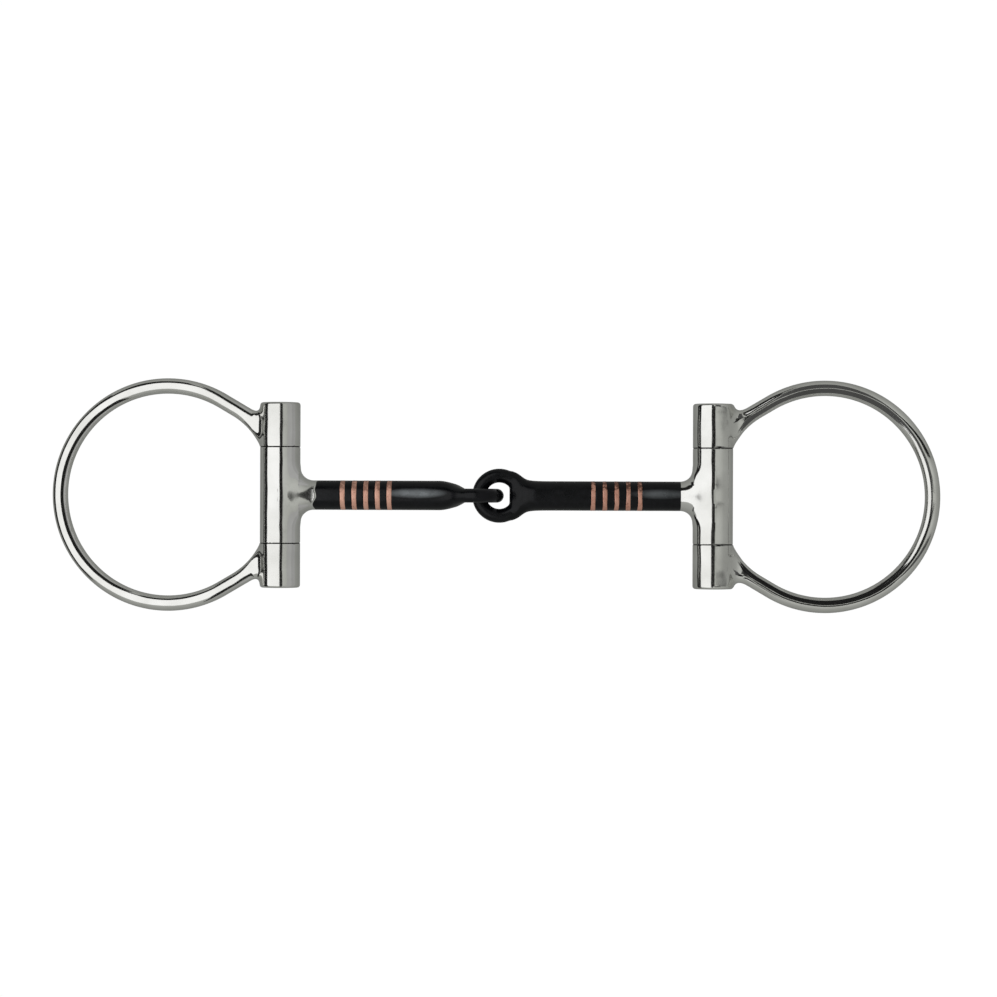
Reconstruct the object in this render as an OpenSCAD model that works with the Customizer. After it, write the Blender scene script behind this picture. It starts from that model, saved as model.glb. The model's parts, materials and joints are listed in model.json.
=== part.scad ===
// Dee-ring snaffle bit: two dee cheeks hinged to a mouthpiece of two cannons,
// whose inner eyes are linked. It lies flat on a table, as it rests when put down.
// +X runs along the mouthpiece, +Y along the hinge pins, +Z up from the table.

/* [Mouthpiece] */
// Width of the mouth, between the faces of the two hinge barrels
mouth_width = 127; // [110:1:155]
// Distance from the middle of the mouth to the link, which lies left of it
link_offset = 5.6; // [0:0.2:8]
// Diameter of the cannons
cannon_d = 9.5; // [8.5:0.1:12]
// Diameter of the spigot that holds a cannon in its tee
spigot_d = 6; // [4:0.1:6.5]
// Space left behind the spigot, at the bottom of its socket
socket_space = 0.3; // [0.1:0.1:1]

/* [Eyes] */
// Diameter of the hole in each eye
eye_hole_d = 8.5; // [8:0.1:10.5]
// Thickness of the rod that forms each eye
eye_rod_d = 4.5; // [3.8:0.1:5.5]
// Distance from an eye's centre to the flat side of its hole
eye_flat = 3.3; // [3:0.1:4]
// Half the distance between the shoulders that lead from the cannon into the eye
eye_shoulder = 4.1; // [3:0.1:5]
// Diameter of the nose in which the cannon ends, behind the hole
nose_d = 7.5; // [5:0.1:8.5]
// Length over which a cannon turns into its eye, from the eye's centre
shank_length = 11.5; // [10:0.5:16]
// Gap between the eyes where the right one lies in the left one
link_seat = 0.3; // [0.1:0.05:0.4]
// Angle at which the right eye's rod lies in the left hole, from the lowest point
link_angle = 28; // [0:1:40]

/* [Hinges] */
// Diameter of the hinge barrels and of the knuckles
barrel_d = 13; // [11:0.5:16]
// Length of each hinge barrel
barrel_length = 31.2; // [25:0.2:40]
// Length of each knuckle
knuckle_length = 14.25; // [12:0.25:18]
// Radius on the outer edge of the knuckles
knuckle_edge_r = 0.9; // [0.2:0.1:2]
// Diameter of the hinge pins
pin_d = 6; // [4:0.1:7.2]
// Radial clearance of a pin in its barrel
pin_clearance = 0.05; // [0.02:0.01:0.1]
// Gap between a barrel's end and a knuckle
side_clearance = 0.1; // [0.05:0.05:0.3]

/* [Collars] */
// Length of the left tee's collar, from the barrel's face
left_collar = 5.8; // [4:0.1:8]
// Length of the right tee's collar, from the barrel's face
right_collar = 4.1; // [4:0.1:8]
// Radius of the fillet between barrel and collar
collar_fillet = 4.4; // [2:0.1:5]
// Plain length left at the collar's end, beyond the fillet
collar_land = 0.3; // [0.2:0.1:1]
// Wall between the pin's bore and the socket of the spigot
socket_wall = 1.5; // [1:0.1:2.5]

/* [Dees] */
// Outer diameter of the round of each dee
dee_outer_d = 75.4; // [65:0.1:95]
// Diameter of the dee's rod
dee_rod_d = 5; // [4:0.1:6.5]
// Distance from the hinge pin to the centre of the dee's round
dee_offset = 36.6; // [34:0.1:46]
// Angle at which the rod runs straight into the knuckle
leg_angle = 30.5; // [25:0.5:34]
// Radius of the curve from the rod down to the knuckle's inner end
web_r = 22.8; // [18:0.2:30]
// Thickness of the web beside that curve
web_thickness = 4; // [2:0.1:4.5]

/* [Copper bands] */
// Width of each band
band_width = 1.65; // [1:0.05:2.5]
// Distance from one band to the next
band_pitch = 3.77; // [3:0.01:5]
// Depth of the band in the cannon
band_depth = 0.6; // [0.3:0.1:1.2]
// Distance from the left barrel's face to the nearest band
left_band_start = 14; // [10:0.1:20]
// Distance from the right barrel's face to the nearest band
right_band_start = 17.3; // [10:0.1:20]

/* [Hidden] */
$fn = 96;
hull_fn = 32;
overlap = 0.5;
leg_step = 0.02;
collar_rise = 0.3;
band_count = 5;

barrel_r = barrel_d / 2;
cannon_r = cannon_d / 2;
pin_r = pin_d / 2;
spigot_r = spigot_d / 2;

// eyes and the link between them
eye_rod_r = eye_rod_d / 2;
eye_hole_r = eye_hole_d / 2;
eye_ring_r = eye_hole_r + eye_rod_r;
eye_outer_r = eye_ring_r + eye_rod_r;
link_play = eye_hole_r - eye_rod_r - link_seat;
link_lead = link_play * sin(link_angle);
link_drop = link_play * cos(link_angle);

// hinges, from the middle of the barrel along the pin
knuckle_in = barrel_length / 2 + side_clearance;
knuckle_out = knuckle_in + knuckle_length;
pin_x = mouth_width / 2 + barrel_r;
pin_z = barrel_r;
socket_bottom = pin_r + pin_clearance + socket_wall;

// dee: its round ends where the straight leg leaves it
dee_rod_r = dee_rod_d / 2;
dee_ring_r = dee_outer_d / 2 - dee_rod_r;
leg_dir = [-cos(leg_angle), -sin(leg_angle)];
leg_in = [sin(leg_angle), -cos(leg_angle)];
leg_start = [dee_offset - dee_ring_r * sin(leg_angle), dee_ring_r * cos(leg_angle)];
leg_end_x = barrel_r / 2;
leg_length = (leg_start[0] - leg_end_x) / cos(leg_angle);
leg_end = leg_start + leg_length * leg_dir;

// web: a curve tangent to the leg that ends at the knuckle's inner corner
web_corner = [barrel_r, knuckle_in];
corner_off = (web_corner - leg_start) * leg_in - dee_rod_r - web_r;
web_run = (web_corner - leg_start) * leg_dir - sqrt(web_r * web_r - corner_off * corner_off);
web_start = leg_start + web_run * leg_dir;
web_centre = web_start + (dee_rod_r + web_r) * leg_in;

// at rest: barrels, dee rods and the left eye all touch the table
dee_tilt = asin((pin_z - dee_rod_r) / (dee_offset + dee_ring_r));
link_x = -link_offset;
left_span = link_x - link_lead + pin_x;
left_tilt = asin((eye_outer_r - pin_z) / left_span);
left_eye_x = left_span / cos(left_tilt);
link_z = eye_outer_r - link_drop;
right_span = pin_x - link_x;
right_tilt = asin((link_z - pin_z) / right_span);
right_eye_x = right_span / cos(right_tilt) - eye_ring_r;

steel = "lightgray";
black_iron = [0.13, 0.13, 0.14];
copper = [0.78, 0.52, 0.42];

// ---- places: each piece is drawn round its own hinge pin ----

// mouthpiece pieces, with local +X towards the link
module in_left_half() {
    translate([-pin_x, 0, pin_z]) rotate([0, -left_tilt, 0]) children();
}

module in_right_half() {
    translate([pin_x, 0, pin_z]) mirror([1, 0, 0]) rotate([0, -right_tilt, 0]) children();
}

// cheek pieces, with local +X away from the mouth
module in_left_cheek() {
    translate([-pin_x, 0, pin_z]) mirror([1, 0, 0]) rotate([0, dee_tilt, 0]) children();
}

module in_right_cheek() {
    translate([pin_x, 0, pin_z]) rotate([0, dee_tilt, 0]) children();
}

// ---- shapes shared by the pieces ----

// a cylinder along Y, centred
module rod_y(r, length) {
    rotate([90, 0, 0]) cylinder(r = r, h = length, center = true);
}

// a cylinder along X, from one place to another
module rod_x(r, from, to) {
    translate([from, 0, 0]) rotate([0, 90, 0]) cylinder(r = r, h = to - from);
}

// ---- dee ----

module knuckle() {
    rotate([-90, 0, 0]) rotate_extrude() {
        translate([0, knuckle_in]) square([barrel_r, knuckle_length - knuckle_edge_r]);
        translate([0, knuckle_in]) square([barrel_r - knuckle_edge_r, knuckle_length]);
        translate([barrel_r - knuckle_edge_r, knuckle_out - knuckle_edge_r]) circle(r = knuckle_edge_r);
    }
}

// the straight leg: a hair thinner than the round, so that it starts inside its end
module leg() {
    translate([leg_start[0], leg_start[1], 0])
        rotate([0, 0, 180 + leg_angle]) rod_x(dee_rod_r - leg_step, -overlap, leg_length);
}

module web() {
    linear_extrude(height = web_thickness, center = true) difference() {
        polygon([web_start, leg_end, [leg_end_x, knuckle_in], web_corner]);
        translate(web_centre) circle(r = web_r, $fn = 180);
    }
}

module dee() {
    half_sweep = 90 + leg_angle;
    difference() {
        union() {
            translate([dee_offset, 0, 0])
                rotate_extrude(angle = 2 * half_sweep, start = -half_sweep)
                    translate([dee_ring_r, 0]) circle(r = dee_rod_r);
            for (side = [0, 1]) mirror([0, side, 0]) {
                knuckle();
                leg();
                web();
            }
        }
        rod_y(pin_r, 2 * knuckle_out + 2 * overlap);
    }
}

module hinge_pin() {
    rod_y(pin_r, 2 * knuckle_out);
}

// ---- tee: hinge barrel, filleted collar and socket ----

// seen from above the collar has a fillet, and from the side it tapers from the barrel
module collar(end, fillet) {
    end_r = cannon_r + collar_rise;
    reach = sqrt(end * end + end_r * end_r);
    tangent = atan2(end_r, end) + acos(barrel_r / reach);
    side = [
        [0, barrel_r],
        [barrel_r * cos(tangent), barrel_r * sin(tangent)],
        [end, end_r]
    ];
    intersection() {
        rotate([0, 90, 0]) rotate_extrude() {
            square([cannon_r, end]);
            difference() {
                square([cannon_r + fillet, barrel_r + fillet]);
                translate([cannon_r + fillet, barrel_r + fillet]) circle(r = fillet);
            }
        }
        rotate([90, 0, 0]) linear_extrude(height = barrel_length, center = true)
            polygon(concat(side, [for (i = [2, 1, 0]) [side[i][0], -side[i][1]]]));
    }
}

module tee(collar_length) {
    end = barrel_r + collar_length;
    difference() {
        union() {
            rod_y(barrel_r, barrel_length);
            collar(end, min(collar_fillet, collar_length - collar_land));
        }
        rod_y(pin_r + pin_clearance, barrel_length + 2 * overlap);
        rod_x(spigot_r, socket_bottom, end + overlap);
    }
}

// ---- cannon: spigot, bar, shank and eye ----

// an eye round the origin in the XY plane, on a shank that comes from -X
module eye() {
    rotate_extrude() translate([eye_ring_r, 0]) circle(r = eye_rod_r);
    difference() {
        hull() {
            rod_x(cannon_r, -shank_length, -shank_length + overlap, $fn = hull_fn);
            translate([-eye_flat - eye_rod_r, 0, 0]) sphere(d = nose_d, $fn = hull_fn);
            for (side = [-1, 1])
                translate([-eye_flat - eye_rod_r, side * eye_shoulder, 0])
                    sphere(r = eye_rod_r, $fn = hull_fn);
        }
        intersection() {
            cylinder(r = eye_hole_r, h = 2 * cannon_d, center = true);
            translate([-eye_flat, -cannon_d, -cannon_d]) cube(2 * cannon_d);
        }
    }
}

module cannon(eye_x, eye_turn, collar_length, band_start) {
    shoulder = barrel_r + collar_length;
    rod_x(spigot_r, socket_bottom + socket_space, shoulder + overlap);
    difference() {
        rod_x(cannon_r, shoulder, eye_x - shank_length + overlap / 2);
        for (i = [1 : band_count]) band_ring(band_start, i, cannon_r + overlap);
    }
    translate([eye_x, 0, 0]) rotate([eye_turn, 0, 0]) eye();
}

// ---- copper bands ----

module band_ring(band_start, i, outer_r) {
    x = barrel_r + band_start + (i - 1) * band_pitch;
    difference() {
        rod_x(outer_r, x - band_width / 2, x + band_width / 2);
        rod_x(cannon_r - band_depth, x - band_width, x + band_width);
    }
}

module left_dee() { color(steel) in_left_cheek() dee(); }
module right_dee() { color(steel) in_right_cheek() dee(); }
module left_hinge_pin() { color(steel) in_left_cheek() hinge_pin(); }
module right_hinge_pin() { color(steel) in_right_cheek() hinge_pin(); }
module left_tee() { color(steel) in_left_half() tee(left_collar); }
module right_tee() { color(steel) in_right_half() tee(right_collar); }

module left_cannon() {
    color(black_iron) in_left_half() cannon(left_eye_x, 90, left_collar, left_band_start);
}

module right_cannon() {
    color(black_iron) in_right_half() cannon(right_eye_x, 0, right_collar, right_band_start);
}

module left_copper_band(i) {
    color(copper) in_left_half() band_ring(left_band_start, i, cannon_r);
}

module right_copper_band(i) {
    color(copper) in_right_half() band_ring(right_band_start, i, cannon_r);
}

left_dee();
left_hinge_pin();
left_tee();
left_cannon();
right_dee();
right_hinge_pin();
right_tee();
right_cannon();
for (i = [1 : band_count]) {
    left_copper_band(i);
    right_copper_band(i);
}
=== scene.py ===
import json
import math

import bpy
import numpy as np
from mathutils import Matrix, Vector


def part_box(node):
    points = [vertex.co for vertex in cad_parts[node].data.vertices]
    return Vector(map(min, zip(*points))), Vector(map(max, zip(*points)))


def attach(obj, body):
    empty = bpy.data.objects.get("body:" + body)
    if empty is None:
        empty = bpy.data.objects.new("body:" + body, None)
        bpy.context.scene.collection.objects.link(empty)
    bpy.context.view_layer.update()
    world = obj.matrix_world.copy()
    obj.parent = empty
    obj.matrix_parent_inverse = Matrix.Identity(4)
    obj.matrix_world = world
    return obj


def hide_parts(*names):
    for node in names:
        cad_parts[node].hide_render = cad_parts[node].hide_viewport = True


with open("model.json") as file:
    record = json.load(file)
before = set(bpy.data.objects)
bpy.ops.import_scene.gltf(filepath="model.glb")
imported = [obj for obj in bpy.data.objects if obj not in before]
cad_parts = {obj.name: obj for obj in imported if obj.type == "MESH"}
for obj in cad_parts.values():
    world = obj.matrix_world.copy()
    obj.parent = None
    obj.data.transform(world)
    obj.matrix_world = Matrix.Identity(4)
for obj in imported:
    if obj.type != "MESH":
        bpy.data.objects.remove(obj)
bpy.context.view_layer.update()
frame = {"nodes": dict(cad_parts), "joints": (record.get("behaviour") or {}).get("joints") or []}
print("frame loaded")

mm = 0.001


def boxOf(node):  # corners in millimetres
    low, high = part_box(node)
    return np.array(low) / mm, np.array(high) / mm


pinLow, pinHigh = boxOf("right_hinge_pin")
teeLow, teeHigh = boxOf("right_tee")
pinX = (pinLow[0] + pinHigh[0]) / 2
pinZ = (pinLow[2] + pinHigh[2]) / 2
knuckleEnd = pinHigh[1]
barrelR = (teeHigh[2] - teeLow[2]) / 2
barrelEnd = teeHigh[1]
linkAt = np.array(next(j["pos_m"] for j in frame["joints"] if j["name"] == "centre_link")) / mm


# shapes are signed distances in millimetres, below zero inside
def smooth(low, high, value):
    t = np.clip((value - low) / (high - low), 0, 1)
    return t * t * (3 - 2 * t)


def blendMin(a, b, width):  # two bodies run into each other over this width
    h = np.maximum(width - np.abs(a - b), 0) / width
    return np.minimum(a, b) - h * h * width / 4


def blendMax(a, b, width):
    return -blendMin(-a, -b, width)


def roundedRod(across, along, radius, halfLength, edge):
    u, v = across - (radius - edge), np.abs(along) - (halfLength - edge)
    outside = np.hypot(np.maximum(u, 0), np.maximum(v, 0))
    return outside + np.minimum(np.maximum(u, v), 0) - edge


def waves(angle, seed, count=5):  # a closed, irregular line round a bar, between about -1 and 1
    total = 0 * angle
    for i in range(1, count + 1):
        total = total + np.sin(i * angle + seed * (1.7 + i) + i * i) / math.sqrt(i)
    return total / 2.2


# how each face of a shape slopes at each point
def featureGradients(shape, points, step=0.004):
    parts = []
    for axis in range(3):
        offset = np.zeros(3)
        offset[axis] = step
        parts.append((shape(points + offset)[1] - shape(points - offset)[1]) / (2 * step))
    return np.stack(parts, axis=-1)  # features, points, 3


# meshes a shape: one vertex per crossed cell, set on the surface or on the edge of two faces
def surfaceOf(shape, low, high, cell):
    axes = [np.arange(low[i] - 1.5 * cell, high[i] + 2.5 * cell, cell) for i in range(3)]
    size = [len(a) for a in axes]
    field = np.empty(size)
    gridY, gridZ = np.meshgrid(axes[1], axes[2], indexing="ij")
    for i, x in enumerate(axes[0]):
        slab = np.stack([np.full(gridY.size, x), gridY.ravel(), gridZ.ravel()], axis=-1)
        field[i] = shape(slab)[0].reshape(gridY.shape)
    inside = field < 0
    crossings, kinds, quads = [], [], []
    for a in range(3):
        b, c = (a + 1) % 3, (a + 2) % 3
        first = [slice(None)] * 3
        second = [slice(None)] * 3
        first[a], second[a] = slice(0, -1), slice(1, None)
        cross = inside[tuple(first)] != inside[tuple(second)]
        index = np.argwhere(cross)
        ahead = index.copy()
        ahead[:, a] += 1
        f0, f1 = field[tuple(index.T)], field[tuple(ahead.T)]
        place = np.stack([axes[i][index[:, i]] for i in range(3)], axis=-1)
        place[:, a] += cell * f0 / (f0 - f1)
        value, features = shape(place)
        kind = np.argmin(np.abs(features - value), axis=0)
        around = []
        for stepB, stepC in ((-1, -1), (0, -1), (0, 0), (-1, 0)):
            corner = index.copy()
            corner[:, b] += stepB
            corner[:, c] += stepC
            around.append(np.ravel_multi_index(tuple(corner.T), size))
        around = np.stack(around, axis=-1)
        flip = f0 >= 0
        around[flip] = around[flip][:, ::-1]
        crossings.append(place)
        kinds.append(kind)
        quads.append(around)
    crossings, kinds, quads = map(np.concatenate, (crossings, kinds, quads))
    cells, corners = np.unique(quads.ravel(), return_inverse=True)
    corners = corners.reshape(quads.shape)
    flat = corners.ravel()
    hits = np.bincount(flat).astype(float)
    repeated = np.repeat(crossings, 4, axis=0)
    points = np.stack([np.bincount(flat, repeated[:, i]) / hits for i in range(3)], axis=-1)
    featureCount = shape(points[:1])[1].shape[0]
    active = np.stack([np.bincount(flat, np.repeat(kinds == k, 4)) > 0
                       for k in range(featureCount)])
    start = points.copy()
    for turn in range(5):
        values = np.where(active, shape(points)[1], 0)
        slopes = np.where(active[..., None], featureGradients(shape, points), 0)
        g = np.moveaxis(slopes, 0, 1)
        system = g @ np.moveaxis(g, 1, 2) + 1e-6 * np.eye(featureCount)
        weights = np.linalg.solve(system, values.T[..., None])
        move = -(np.moveaxis(g, 1, 2) @ weights)[..., 0]
        length = np.linalg.norm(move, axis=1, keepdims=True)
        points = points + move * np.minimum(1, 0.7 * cell / np.maximum(length, 1e-9))
    far = np.linalg.norm(points - start, axis=1) > 1.6 * cell
    points[far] = start[far]
    slopes = featureGradients(shape, points)
    slopes = slopes / np.maximum(np.linalg.norm(slopes, axis=-1, keepdims=True), 1e-9)
    # an edge's light breaks over one cell
    soft = 0.4 * np.where(active[..., None], slopes, 0).sum(axis=0)
    normals = slopes[kinds[:, None], corners] + soft[corners]
    normals = normals / np.linalg.norm(normals, axis=-1, keepdims=True)
    return points, corners, normals


# one place on the part: its own x, y, z in millimetres are turned into the row frame
def placed(points, place):
    side, originX, tilt = place
    c, s = math.cos(tilt), math.sin(tilt)
    turn = np.array([[side * c, 0, -side * s], [0, 1, 0], [s, 0, c]])
    return points @ turn.T + np.array([originX, 0, pinZ]), turn


def addObject(name, world, faces, material, body, replaced):
    mesh = bpy.data.meshes.new(name)
    mesh.from_pydata((world * mm).tolist(), [], faces.tolist())
    mesh.polygons.foreach_set("use_smooth", np.ones(len(faces), bool))
    mesh.materials.append(material)
    made = bpy.data.objects.new(name, mesh)
    bpy.context.scene.collection.objects.link(made)
    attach(made, body)
    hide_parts(replaced)
    return mesh


def addSurface(name, surface, place, material, body, replaced):
    points, faces, normals = surface
    world, turn = placed(points, place)
    if np.linalg.det(turn) < 0:
        faces, normals = faces[:, ::-1], normals[:, ::-1]
    mesh = addObject(name, world, faces, material, body, replaced)
    mesh.normals_split_custom_set((normals.reshape(-1, 3) @ turn.T).tolist())


def linear(hexColour):
    out = []
    for i in (1, 3, 5):
        c = int(hexColour[i:i + 2], 16) / 255
        out.append(c / 12.92 if c <= 0.04045 else ((c + 0.055) / 1.055) ** 2.4)
    return (*out, 1)


# adds one node and gives one of its outputs; inputs are given by name or in their order,
# each as an output to link, a hex colour or a value
def addNode(tree, kind, inputs=(), out=0, **settings):
    made = tree.nodes.new("ShaderNode" + kind)
    for key, value in settings.items():
        setattr(made, key, value)
    for key, value in inputs.items() if isinstance(inputs, dict) else enumerate(inputs):
        if isinstance(value, bpy.types.NodeSocket):
            tree.links.new(value, made.inputs[key])
        else:
            made.inputs[key].default_value = linear(value) if isinstance(value, str) else value
    return made.outputs[out] if made.outputs else None


def newMaterial(name):
    material = bpy.data.materials.new(name)
    material.use_nodes = True
    material.node_tree.nodes.clear()
    return material, material.node_tree


steel = {
    "pale": "#efefec", "dull": "#dededa",
    "mirror": 0.075, "hazed": 0.13, "cloudMm": 11.0,
    "wavesMm": 9.0, "waveDepthMm": 0.26,
    "scratchMm": 0.35, "scratchDepthMm": 0.00008, "scratchHaze": 0.03,
    # the last colour here is a painted shade for the seams beside the barrel
    "seamMm": 0.3, "seamReachMm": (0.5, 2.0), "paintedSeamShade": "#2a2a28",
}


# polished stainless steel: a hand-buffed mirror, its lines slightly wavy, with hairline
# scratches; they are drawn 0.35 mm wide, coarser than real ones, so that they show
def polishedSteel(name, scratchStretch, waveStretch):
    material, tree = newMaterial(name)
    place = addNode(tree, "TexCoord", out="Object")
    cloud = addNode(tree, "TexNoise",
                    {"Vector": place, "Scale": 1000 / steel["cloudMm"], "Detail": 4})
    stretched = addNode(tree, "Mapping", {"Vector": place, "Scale": scratchStretch})
    scratch = addNode(tree, "TexNoise", {"Vector": stretched, "Roughness": 0.6, "Detail": 2,
                                         "Scale": 1000 / steel["scratchMm"]})
    stretched = addNode(tree, "Mapping", {"Vector": place, "Scale": (1, 1, waveStretch)})
    wave = addNode(tree, "TexNoise", {"Vector": stretched, "Roughness": 0.3, "Detail": 1,
                                      "Scale": 1000 / steel["wavesMm"]})
    dulled = addNode(tree, "MapRange", [cloud, 0.35, 0.7, 0, 1])
    colour = addNode(tree, "Mix", {0: dulled, 6: steel["pale"], 7: steel["dull"]}, 2,
                     data_type="RGBA")
    # painted shade: a dark line in the two seams beside the barrel, and nowhere on the rings
    across = addNode(tree, "SeparateXYZ", [place], "Y")
    across = addNode(tree, "Math", [across], operation="ABSOLUTE")
    off = addNode(tree, "Math", [across, (barrelEnd + 0.02) * mm], operation="SUBTRACT")
    off = addNode(tree, "Math", [off], operation="ABSOLUTE")
    seam = steel["seamMm"] * mm
    seamShade = addNode(tree, "MapRange", [off, 0.4 * seam, 0.6 * seam, 1, 0])
    outward = addNode(tree, "SeparateXYZ", [place], "X")
    outward = addNode(tree, "Math", [outward], operation="ABSOLUTE")
    full, none = ((pinX + barrelR + reach) * mm for reach in steel["seamReachMm"])
    near = addNode(tree, "MapRange", [outward, full, none, 1, 0])
    seamShade = addNode(tree, "Math", [seamShade, near], operation="MULTIPLY")
    colour = addNode(tree, "Mix", {0: seamShade, 6: colour, 7: steel["paintedSeamShade"]}, 2, data_type="RGBA")
    hazy = addNode(tree, "MapRange", [cloud, 0.3, 0.75, steel["mirror"], steel["hazed"]])
    scuffed = addNode(tree, "MapRange", [scratch, 0.5, 0.8, 0, steel["scratchHaze"]])
    rough = addNode(tree, "Math", [hazy, scuffed], operation="ADD")
    normal = addNode(tree, "Bump", {"Height": wave, "Strength": 1,
                                    "Distance": steel["waveDepthMm"] * mm})
    normal = addNode(tree, "Bump", {"Height": scratch, "Strength": 1, "Normal": normal,
                                    "Distance": steel["scratchDepthMm"] * mm})
    shader = addNode(tree, "BsdfPrincipled", {"Base Color": colour, "Roughness": rough,
                                              "Normal": normal, "Metallic": 1})
    addNode(tree, "OutputMaterial", {"Surface": shader})
    return material


iron = {
    # the worn colour is also a painted highlight on the top of the bar
    "deep": "#07080b", "scale": "#131418", "worn": "#8f9498",
    "glossy": 0.17, "matt": 0.4, "cloudMm": 6.0,
    "mottleMm": 1.6, "mottleDepthMm": 0.03,
    "pitMm": 0.5, "pitDepthMm": 0.01,
    "highlightLengthMm": 8.0, "highlightWidthMm": 1.35, "highlightDeepMm": 4.0,
    "metallic": 0.3, "specular": 0.32,
}


# blued sweet iron: near-black scale with a dull shine, mottled by forging, rubbed bright in
# places, with a painted highlight on the top of each bar
def bluedIron(name, highlightAt, highlightShare):
    material, tree = newMaterial(name)
    place = addNode(tree, "TexCoord", out="Object")
    mottle = addNode(tree, "TexNoise", {"Vector": place, "Roughness": 0.6, "Detail": 5,
                                        "Scale": 1000 / iron["mottleMm"]})
    pits = addNode(tree, "TexNoise", {"Vector": place, "Roughness": 0.6, "Detail": 3,
                                      "Scale": 1000 / iron["pitMm"]})
    cloud = addNode(tree, "TexNoise",
                    {"Vector": place, "Scale": 1000 / iron["cloudMm"], "Detail": 4})
    # a light patch on the top of the bar: rubbed wear and a painted highlight
    patch = (iron["highlightLengthMm"] * mm, iron["highlightWidthMm"] * mm, iron["highlightDeepMm"] * mm)
    centred = addNode(tree, "Mapping", {"Vector": place, "Scale": patch,
                                        "Location": [v * mm for v in highlightAt]},
                      vector_type="TEXTURE")
    reach = addNode(tree, "VectorMath", [centred], "Value", operation="LENGTH")
    wearAndHighlight = addNode(tree, "MapRange", [reach, 0.35, 1.3, highlightShare, 0])
    patchy = addNode(tree, "MapRange", [cloud, 0.3, 0.6, 0.45, 1])
    wearAndHighlight = addNode(tree, "Math", [wearAndHighlight, patchy], operation="MULTIPLY")
    scaled = addNode(tree, "MapRange", [mottle, 0.35, 0.7, 0, 1])
    colour = addNode(tree, "Mix", {0: scaled, 6: iron["deep"], 7: iron["scale"]}, 2,
                     data_type="RGBA")
    colour = addNode(tree, "Mix", {0: wearAndHighlight, 6: colour, 7: iron["worn"]}, 2, data_type="RGBA")
    rough = addNode(tree, "MapRange", [cloud, 0.3, 0.7, iron["glossy"], iron["matt"]])
    normal = addNode(tree, "Bump", {"Height": mottle, "Strength": 1,
                                    "Distance": iron["mottleDepthMm"] * mm})
    normal = addNode(tree, "Bump", {"Height": pits, "Strength": 1, "Normal": normal,
                                    "Distance": iron["pitDepthMm"] * mm})
    shader = addNode(tree, "BsdfPrincipled",
                     {"Base Color": colour, "Roughness": rough, "Normal": normal,
                      "Metallic": iron["metallic"], "Specular IOR Level": iron["specular"]})
    addNode(tree, "OutputMaterial", {"Surface": shader})
    return material


copper = {
    "bright": "#f6bfa9", "tarnished": "#d19681", "stainAndDarkReflection": "#6f4a3c",
    # the upper share is a painted dark reflection along the +y side of the bands; the stain colour
    # serves it and the real spots
    "upperDarkReflection": 0.23, "upperFromMm": 0.4, "upperToMm": 3.2,
    "polished": 0.3, "dull": 0.5, "metallic": 0.35,
    "cloudMm": 2.2, "spotMm": 1.1, "grainMm": 0.8, "grainDepthMm": 0.012,
}


# inlaid copper: filed flush with the iron, warm and soft in its shine, browned in spots, with a
# painted dark reflection along the +y side of each band
def inlaidCopper(name, dullness):
    material, tree = newMaterial(name)
    place = addNode(tree, "TexCoord", out="Object")
    cloud = addNode(tree, "TexNoise", {"Vector": place, "Roughness": 0.6, "Detail": 4,
                                       "Scale": 1000 / copper["cloudMm"]})
    spots = addNode(tree, "TexNoise", {"Vector": place, "Roughness": 0.65, "Detail": 5,
                                       "Scale": 1000 / copper["spotMm"]})
    grain = addNode(tree, "TexNoise", {"Vector": place, "Roughness": 0.6, "Detail": 3,
                                       "Scale": 1000 / copper["grainMm"]})
    across = addNode(tree, "SeparateXYZ", [place], "Y")
    # painted dark reflection: the bands darken towards +y, on top of the real stain spots
    upperDarkening = addNode(tree, "MapRange", [across, copper["upperFromMm"] * mm,
                                       copper["upperToMm"] * mm, 0, copper["upperDarkReflection"]])
    stainsAndDarkReflection = addNode(tree, "Math", [spots, upperDarkening], operation="ADD")
    stainsAndDarkReflection = addNode(tree, "MapRange", [stainsAndDarkReflection, 0.58, 0.74, 0, 0.6 + dullness])
    aged = addNode(tree, "MapRange", [cloud, 0.35, 0.7, 0.1 + dullness, 0.6 + dullness])
    colour = addNode(tree, "Mix", {0: aged, 6: copper["bright"], 7: copper["tarnished"]}, 2,
                     data_type="RGBA")
    colour = addNode(tree, "Mix", {0: stainsAndDarkReflection, 6: colour, 7: copper["stainAndDarkReflection"]}, 2,
                     data_type="RGBA")
    rough = addNode(tree, "MapRange", [cloud, 0.3, 0.7, copper["polished"], copper["dull"]])
    normal = addNode(tree, "Bump", {"Height": grain, "Strength": 1,
                                    "Distance": copper["grainDepthMm"] * mm})
    shader = addNode(tree, "BsdfPrincipled",
                     {"Base Color": colour, "Roughness": rough, "Normal": normal,
                      "Metallic": copper["metallic"]})
    addNode(tree, "OutputMaterial", {"Surface": shader})
    return material


barrelSteel = polishedSteel("stainless_steel_polished_barrels", (1, 0.08, 1), 1)
deeSteel = polishedSteel("stainless_steel_polished_dees", (0.25, 0.25, 1), 1.2)
pinSteel = polishedSteel("stainless_steel_filed_pins", (1, 0.2, 1), 1.1)
copperLeft = inlaidCopper("copper_inlay_bright", 0.0)
copperRight = inlaidCopper("copper_inlay_dulled", 0.42)
print("materials made")


# dee: a round rod that fans out into the two knuckles
dee = {
    "ringR": 35.2, "offset": 36.6, "rodR": 2.5, "legAngle": 30.5,
    "webR": 22.8, "webHalf": 2.15, "webTaper": 9, "seamJoin": 0.5, "seamJoinRun": 5,
    "joinMm": {"left": 2.8, "right": 3.6},
    "outerJoinMm": {"left": 0.4, "right": 1.4}, "outerFrom": 24.5, "outerTo": 28,
    "knuckleR": barrelR, "knuckleEdge": 0.9, "boreR": 3.02, "boreReach": 20,
    "seamGap": 0.05, "cell": 0.4,
}


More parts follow.
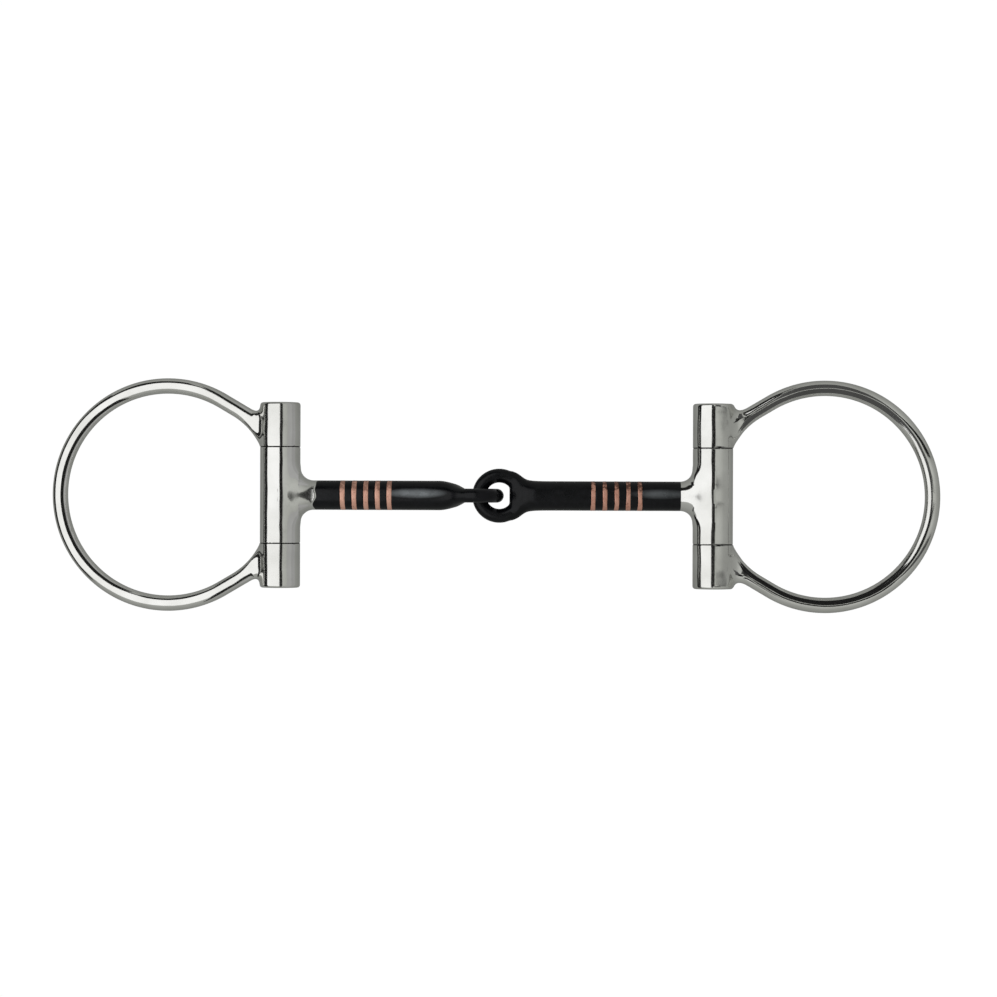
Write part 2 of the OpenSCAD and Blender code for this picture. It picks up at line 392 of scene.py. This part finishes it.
def deeShape(sideName):
    a = math.radians(dee["legAngle"])
    legDir = np.array([-math.cos(a), -math.sin(a)])
    legIn = np.array([math.sin(a), -math.cos(a)])
    centre = np.array([dee["offset"], 0])
    legStart = centre + dee["ringR"] * np.array([-math.sin(a), math.cos(a)])
    seam = barrelEnd + dee["seamGap"]
    corner = np.array([dee["knuckleR"], seam]) - legStart
    webR = dee["webR"]
    off = corner @ legIn - dee["rodR"] - webR
    webRun = corner @ legDir - math.sqrt(webR * webR - off * off)
    webCentre = legStart + webRun * legDir + (dee["rodR"] + webR) * legIn
    middle = (10 + knuckleEnd) / 2

    def shape(points):
        x, y, z = points[:, 0], np.abs(points[:, 1]), points[:, 2]
        along = (x - legStart[0]) * legDir[0] + (y - legStart[1]) * legDir[1]
        inward = (x - legStart[0]) * legIn[0] + (y - legStart[1]) * legIn[1]
        ring = np.abs(np.hypot(x - centre[0], y) - dee["ringR"])
        strip = np.where(along > 0, np.abs(inward), ring) - dee["rodR"]
        curve = webR - np.hypot(x - webCentre[0], y - webCentre[1])
        fan = np.maximum(-inward - dee["rodR"], curve)
        plan = np.where(along > webRun, fan, strip)
        half = dee["rodR"] + (dee["webHalf"] - dee["rodR"]) * \
            smooth(webRun, webRun + dee["webTaper"], along)
        rod = np.hypot(np.maximum(plan + half, 0), z) - half
        rod = np.where(plan + half > 0, rod, np.abs(z) - half)
        across = np.hypot(x, z)
        knuckle = roundedRod(across, y - middle, dee["knuckleR"], knuckleEnd - middle,
                             dee["knuckleEdge"])
        rod = np.maximum(rod, 0.5 - x)
        grows = smooth(seam, seam + dee["seamJoinRun"], y)
        join = dee["seamJoin"] + (dee["joinMm"][sideName] - dee["seamJoin"]) * grows
        outer = smooth(dee["outerFrom"], dee["outerTo"], y)
        join = join + dee["outerJoinMm"][sideName] * outer
        body = blendMin(rod, knuckle, join)
        features = np.stack([body, seam - y, dee["boreR"] - across])
        near = x < dee["boreReach"]  # the ring isn't cut by the seam or the bore
        features[1:] = np.where(near, features[1:], -50)
        return features.max(axis=0), features

    return shape


deeTilt = math.asin((pinZ - dee["rodR"]) / (dee["offset"] + dee["ringR"]))
deeReach = dee["offset"] + dee["ringR"] + dee["rodR"]
deeWide = dee["ringR"] + dee["rodR"]
for sideName, side in (("left", -1), ("right", 1)):
    deeSurface = surfaceOf(deeShape(sideName), (-barrelR, -deeWide, -barrelR),
                           (deeReach, deeWide, barrelR), dee["cell"])
    addSurface(sideName + "_dee_polished", deeSurface, (side, side * pinX, -deeTilt), deeSteel,
               sideName + "_cheek", sideName + "_dee")
print("dees made", len(deeSurface[0]))


# tee: the hinge barrel, with a filleted neck that ends at the iron
tee = {
    "neckR": 4.76, "boreR": 3.05, "socketR": 3.0, "socketFloor": 4.55,
    "sideEdge": 0.12, "crease": 0.15, "joinMm": 0.7, "spread": 2.2, "cell": 0.4,
    "left": {"length": 5.4, "fillet": 4.4, "ragged": 0.9, "hollow": 0.7},
    "right": {"length": 4.1, "fillet": 4.1, "ragged": 0.06, "hollow": 0.0},
}


def neckEnd(sideName, points):  # where steel meets iron: a slightly ragged line round the bar
    one = tee[sideName]
    angle = np.arctan2(points[:, 1], points[:, 2])
    return barrelR + one["length"] + one["ragged"] * waves(angle, len(sideName), 7)


def teeShape(sideName):
    one = tee[sideName]
    end = barrelR + one["length"]
    neckR = tee["neckR"]
    # the neck's top line leaves the barrel where the barrel leans this much
    leans = np.linspace(0.05, 1.2, 5000)
    falls = barrelR * np.cos(leans) - neckR
    spans = (end - barrelR * np.sin(leans)) * np.tan(leans)
    lean = leans[np.argmin(np.abs(spans / (1 + one["hollow"]) - falls))]
    leaves = barrelR * math.sin(lean)

    def shape(points):
        x, y, z = points[:, 0], points[:, 1], points[:, 2]
        barrel = roundedRod(np.hypot(x, z), y, barrelR, barrelEnd, tee["sideEdge"])
        toGo = np.minimum((end - x) / (end - leaves), 1)
        sag = 1 - one["hollow"] * (1 - toGo)
        top = neckR + (barrelR * math.cos(lean) - neckR) * toGo * sag
        top = np.where(x < leaves, np.sqrt(np.maximum(barrelR ** 2 - x * x, 1)), top)
        t = (x - barrelR) / one["fillet"]
        arc = 1 - np.sqrt(np.clip(1 - (1 - np.clip(t, 0, 1)) ** 2, 0, 1))
        wide = neckR + one["fillet"] * np.where(t < 0, 1 - tee["spread"] * t, arc)
        level = np.sqrt((y / wide) ** 2 + (z / top) ** 2 + 1e-9)
        neck = np.maximum((level - 1) * np.minimum(wide, top), -x)
        join = tee["crease"] + tee["joinMm"] * smooth(0.5, 4, np.abs(y))
        body = blendMin(barrel, neck, join)
        ends = np.abs(y) - barrelEnd
        bore = tee["boreR"] - np.hypot(x, z)
        wall = tee["socketR"] + 0.02 - np.hypot(y, z)
        floor = x - tee["socketFloor"]
        features = np.stack([body, x - neckEnd(sideName, points), ends, bore, wall, floor])
        return np.maximum(features[:4].max(axis=0), np.minimum(wall, floor)), features

    return shape


# cannon: an iron bar with grooves for the bands, a bullet nose and a forged eye
cannon = {
    "barR": 4.75, "eyeR": 6.5, "eyeRodR": 2.25, "holeFlat": 3.3, "flatEdge": 1.3,
    "flare": 4.0, "flareAt": 5.5, "flareRun": 1.7, "eyeReach": 14,
    "noseAt": 12, "noseLength": 11.05, "noseCut": 0.9,
    "spigotR": 3.0, "spigotStart": 4.85, "spigotEnd": 16, "cell": 0.36,
}
bands = {
    "count": 5, "width": {"left": 1.55, "right": 1.42}, "pitch": 3.77, "depth": 0.6,
    "left": 14.0, "right": 17.3, "raggedMm": {"left": 0.06, "right": 0.13}, "proudMm": 0.02,
}


def bandEdge(sideName, index, which, angle):  # the wavy rim of a band, which is -1 or 1
    seed = index * 2.3 + which * 0.9 + len(sideName)
    middle = barrelR + bands[sideName] + index * bands["pitch"]
    rim = middle + which * bands["width"][sideName] / 2
    return rim + bands["raggedMm"][sideName] * waves(angle, seed)


leftEye = boxOf("left_cannon")
leftEyeAt = np.array([leftEye[1][0] - cannon["eyeR"] - cannon["eyeRodR"],
                      (leftEye[0][2] + leftEye[1][2]) / 2])
leftSpan = leftEyeAt[0] + pinX
rightSpan = pinX - linkAt[0]
halves = {
    "left": {"tilt": math.atan2(leftEyeAt[1] - pinZ, leftSpan),
             "eyeX": math.hypot(leftSpan, leftEyeAt[1] - pinZ), "side": 1, "originX": -pinX},
    "right": {"tilt": math.atan2(linkAt[2] - pinZ, rightSpan),
              "eyeX": math.hypot(rightSpan, linkAt[2] - pinZ) - cannon["eyeR"],
              "side": -1, "originX": pinX},
}


def cannonShape(sideName):
    eyeX = halves[sideName]["eyeX"]
    upright = sideName == "left"

    def shape(points):
        x, y, z = points[:, 0], points[:, 1], points[:, 2]
        wide, thick = (z, y) if upright else (y, z)
        s = eyeX - x  # distance from the eye's centre towards the bar
        flaring = 1 + np.exp((s - cannon["flareAt"]) / cannon["flareRun"])
        halfWide = cannon["barR"] + cannon["flare"] / flaring
        nose = np.clip((cannon["noseAt"] - s) / cannon["noseLength"], 0, cannon["noseCut"])
        halfThick = cannon["barR"] * (1 - nose ** 1.7) ** 0.8
        level = np.sqrt((wide / halfWide) ** 2 + (thick / halfThick) ** 2 + 1e-9)
        shank = (level - 1) * np.minimum(halfWide, halfThick)
        shank = blendMax(shank, cannon["holeFlat"] - s, cannon["flatEdge"])
        ring = np.hypot(np.hypot(s, wide) - cannon["eyeR"], thick) - cannon["eyeRodR"]
        joined = blendMin(shank, ring, 0.4 + 1.8 * smooth(3, 7, s))
        body = np.where(s < cannon["eyeReach"], joined, shank)
        across = np.hypot(y, z)
        spigot = across - cannon["spigotR"]
        shoulder = neckEnd(sideName, points) + 0.02 - x
        tip = cannon["spigotStart"] - x
        angle = np.arctan2(y, z)
        features = [body, shoulder, spigot, tip]
        inSocket = np.maximum(spigot, x - cannon["spigotEnd"])
        value = np.maximum(np.minimum(np.maximum(body, shoulder), inSocket), tip)
        floor = across - (cannon["barR"] - bands["depth"])
        features.append(floor)
        for i in range(bands["count"]):
            low = bandEdge(sideName, i, -1, angle) - x
            high = x - bandEdge(sideName, i, 1, angle)
            features += [-low, -high]
            value = np.maximum(value, np.minimum(floor, -np.maximum(low, high)))
        return value, np.stack(features)

    return shape


# band: a copper ring let into its groove, its rims a little wavy
def bandRing(sideName, index):
    turns = 144
    inner, outer = cannon["barR"] - bands["depth"] + 0.01, cannon["barR"] + bands["proudMm"]
    angle = np.linspace(0, 2 * math.pi, turns, endpoint=False)
    low, high = (bandEdge(sideName, index, w, angle) - w * 0.01 for w in (-1, 1))
    section = [(0, 0, inner), (0, 0, outer - 0.06), (0, 0.06, outer), (0.3, 0, outer),
               (0.7, 0, outer), (1, -0.06, outer), (1, 0, outer - 0.06), (1, 0, inner)]
    rows = []
    for share, shift, radius in section:
        at = low + (high - low) * share + shift
        worn = radius + 0.012 * waves(angle, index + 3 * share, 9) * (radius > inner)
        rows.append(np.stack([at, worn * np.sin(angle), worn * np.cos(angle)], axis=-1))
    count = len(rows)
    faces = []
    for r in range(count):
        for t in range(turns):
            u = (t + 1) % turns
            n = (r + 1) % count
            faces.append([r * turns + t, n * turns + t, n * turns + u, r * turns + u])
    return np.concatenate(rows), np.array(faces)


def addBand(sideName, index, material, place):
    points, faces = bandRing(sideName, index)
    world, turn = placed(points, place)
    if np.linalg.det(turn) > 0:
        faces = faces[:, ::-1]
    name = f"{sideName}_copper_band_{index + 1}"
    mesh = addObject(name + "_inlaid", world, faces, material, sideName + "_mouthpiece",
                     name)
    mesh.set_sharp_from_angle(angle=math.radians(50))


for sideName, copperFinish in (("left", copperLeft), ("right", copperRight)):
    half = halves[sideName]
    place = (half["side"], half["originX"], half["tilt"])
    end = barrelR + tee[sideName]["length"]
    teeSurface = surfaceOf(teeShape(sideName), (-barrelR, -barrelEnd, -barrelR),
                           (end + 1.4, barrelEnd, barrelR), tee["cell"])
    addSurface(sideName + "_tee_polished", teeSurface, place, barrelSteel,
               sideName + "_mouthpiece", sideName + "_tee")
    # where the painted highlight patch sits on each bar; it is weaker on the right
    highlightX = linkAt[0] - 20 if sideName == "left" else pinX - 17
    finish = bluedIron("sweet_iron_blued_" + sideName, (highlightX, 0.7, pinZ + 5.5),
                       1 if sideName == "left" else 0.5)
    wide = cannon["eyeR"] + cannon["eyeRodR"]
    cannonSurface = surfaceOf(cannonShape(sideName), (cannon["spigotStart"], -wide, -wide),
                              (half["eyeX"] + wide, wide, wide), cannon["cell"])
    addSurface(sideName + "_cannon_blued", cannonSurface, place, finish,
               sideName + "_mouthpiece", sideName + "_cannon")
    for i in range(bands["count"]):
        addBand(sideName, i, copperFinish, place)
    print(sideName, "half of the mouthpiece made", len(teeSurface[0]), len(cannonSurface[0]))

for sideName in ("left", "right"):
    pin = frame["nodes"][sideName + "_hinge_pin"]
    pin.data.materials.clear()
    pin.data.materials.append(pinSteel)


rig = {  # metres; brightness 1 is white
    "height": 0.6, "softboxEdge": -0.064,
    "softboxFront": -0.55, "softboxBack": 0.64, "wallX": -1.0, "wallFoot": 0.28,
    "white": 1.05, "black": 0.012, "charcoal": 0.07,
    "greys": [(0.15, 0.25), (0.42, 0.31), (0.75, 0.37), (0.95, 0.52)],  # height, brightness
    "tint": (0.985, 1, 0.955), "paper": 1.02, "tableZ": -0.22,
}


def clearBehind(tree, glow):  # a face that is seen from its front only
    behind = addNode(tree, "NewGeometry", out="Backfacing")
    clear = addNode(tree, "BsdfTransparent")
    return addNode(tree, "MixShader", [behind, glow, clear])


# a card that reflections see and the camera doesn't
def card(name, points, faces, brightness, oneSided=False, diffuse=False):
    mesh = bpy.data.meshes.new(name)
    mesh.from_pydata(points, [], faces)
    material, tree = newMaterial(name)
    glow = addNode(tree, "Emission", {"Color": (1, 1, 1, 1), "Strength": brightness})
    glow = clearBehind(tree, glow) if oneSided else glow
    addNode(tree, "OutputMaterial", {"Surface": glow})
    mesh.materials.append(material)
    made = bpy.data.objects.new(name, mesh)
    bpy.context.scene.collection.objects.link(made)
    made.visible_camera = False
    made.visible_shadow = False
    made.visible_diffuse = diffuse


# a card that follows a line of (x, z) points and runs along y
def profileCard(name, profile, yLow, yHigh, brightness, oneSided=False, diffuse=False):
    count = len(profile)
    points = [(x, y, z) for y in (yLow, yHigh) for x, z in profile]
    faces = [(i, i + 1, count + i + 1, count + i) for i in range(count - 1)]
    card(name, points, faces, brightness, oneSided, diffuse)


# the softbox is the white stripe in the steel, and the black cards are the lines beside it
softboxProfile = [(rig["softboxEdge"], rig["height"]), (-0.5, rig["height"]), (-0.85, 0.42),
                  (rig["wallX"], rig["wallFoot"])]
profileCard("softbox", softboxProfile, rig["softboxFront"], rig["softboxBack"], rig["white"],
            diffuse=True)
profileCard("foot_flag", [(rig["wallX"], rig["wallFoot"]), (rig["wallX"], -0.25)], -0.8, 1.2,
            rig["black"])
profileCard("overhead_flag", [(rig["softboxEdge"], rig["height"]), (0.055, rig["height"])],
            -0.45, 0.92, rig["black"])
profileCard("narrow_flag", [(0.114, 0.3), (0.0666, 0.15)], -0.045, 0.045, rig["black"],
            oneSided=True)
profileCard("back_flag", softboxProfile, rig["softboxBack"], 2.2, rig["black"])
profileCard("left_flag", [(-0.052, 0.066), (-0.052, rig["height"])], -0.35, 0.35,
            rig["black"], oneSided=True)
# grey screens hide the right dee's cards from the left tee
profileCard("lower_screen", [(0, 0), (0, 0.03)], -0.25, 0.25, 0.35, oneSided=True)
profileCard("upper_screen", [(0, 0.03), (0, 0.08)], -0.25, 0.25, 0.41, oneSided=True)
profileCard("right_low_flag", [(0.09, 0.15), (0.2, 0.15)], -0.085, -0.037, rig["black"])
profileCard("right_high_flag", [(0.09, 0.15), (0.2, 0.15)], 0.037, 0.27, rig["charcoal"])

# upright cards inside the right dee, each seen from the front or from the back only
for name, y, low, high, brightness, facesFront in (
        ("right_front_flag", -0.001, 0.05, 0.6, rig["black"], True),
        ("right_back_flag", 0.001, 0.05, 0.6, rig["charcoal"], False),
        ("right_front_low_flag", 0.03, 0.02, 0.1, rig["black"], True),
        ("right_back_low_flag", -0.03, 0.02, 0.1, rig["charcoal"], False)):
    corners = [(0.09, y, low), (0.2, y, low), (0.2, y, high), (0.09, y, high)]
    card(name, corners if facesFront else corners[::-1], [(0, 1, 2, 3)], brightness,
         oneSided=True)

# the room: grey, paler overhead
world = bpy.data.worlds.new("studio")
bpy.context.scene.world = world
world.use_nodes = True
tree = world.node_tree
tree.nodes.clear()
upward = addNode(tree, "SeparateXYZ", [addNode(tree, "TexCoord", out="Generated")], "Z")
room = addNode(tree, "ValToRGB", [addNode(tree, "MapRange", [upward, -1, 1, 0, 1])])
stops = room.node.color_ramp.elements
stops.new(0.5)
stops.new(0.6)
for stop, (at, grey) in zip(stops, rig["greys"]):
    stop.position = at
for stop, (at, grey) in zip(stops, rig["greys"]):
    stop.color = (*(grey * share for share in rig["tint"]), 1)
sky = addNode(tree, "Background", {"Color": room, "Strength": 1})
addNode(tree, "OutputWorld", {"Surface": sky})


# white paper that only the camera sees
def paper(name, oneSided=False):
    made = bpy.context.object
    made.name = name
    material, tree = newMaterial("paper_white_" + name)
    place = addNode(tree, "TexCoord", out="Object")
    fibre = addNode(tree, "TexNoise", {"Vector": place, "Scale": 1000 / 40, "Detail": 4})
    tone = addNode(tree, "Mix", {0: fibre, 6: "#ffffff", 7: "#fdfdfd"}, 2, data_type="RGBA")
    glow = addNode(tree, "Emission", {"Color": tone, "Strength": rig["paper"]})
    glow = clearBehind(tree, glow) if oneSided else glow
    addNode(tree, "OutputMaterial", {"Surface": glow})
    made.data.materials.append(material)
    for flag in ("visible_diffuse", "visible_glossy", "visible_transmission", "visible_shadow"):
        setattr(made, flag, False)


# the table lies low and is clear from below, so that it hides nothing that folds down
bpy.ops.mesh.primitive_plane_add(size=8, location=(0, 0, rig["tableZ"]))
paper("table", oneSided=True)
bpy.ops.mesh.primitive_uv_sphere_add(segments=48, ring_count=24, radius=6)
paper("backdrop")

shot = {"lens": 105.0, "sensorMm": 36, "viewMm": 322.6, "centre": (0.00065, -0.0009),
        "roll": 0.0036}
cameraData = bpy.data.cameras.new("camera")
cameraData.lens = shot["lens"]
cameraData.sensor_width = shot["sensorMm"]
camera = bpy.data.objects.new("camera", cameraData)
bpy.context.scene.collection.objects.link(camera)
away = shot["viewMm"] * mm * shot["lens"] / shot["sensorMm"]
camera.location = (*shot["centre"], away + pinZ * mm)
camera.rotation_euler = (0, 0, shot["roll"])
bpy.context.scene.camera = camera
bpy.context.scene.view_settings.view_transform = "Standard"
print("stage set")
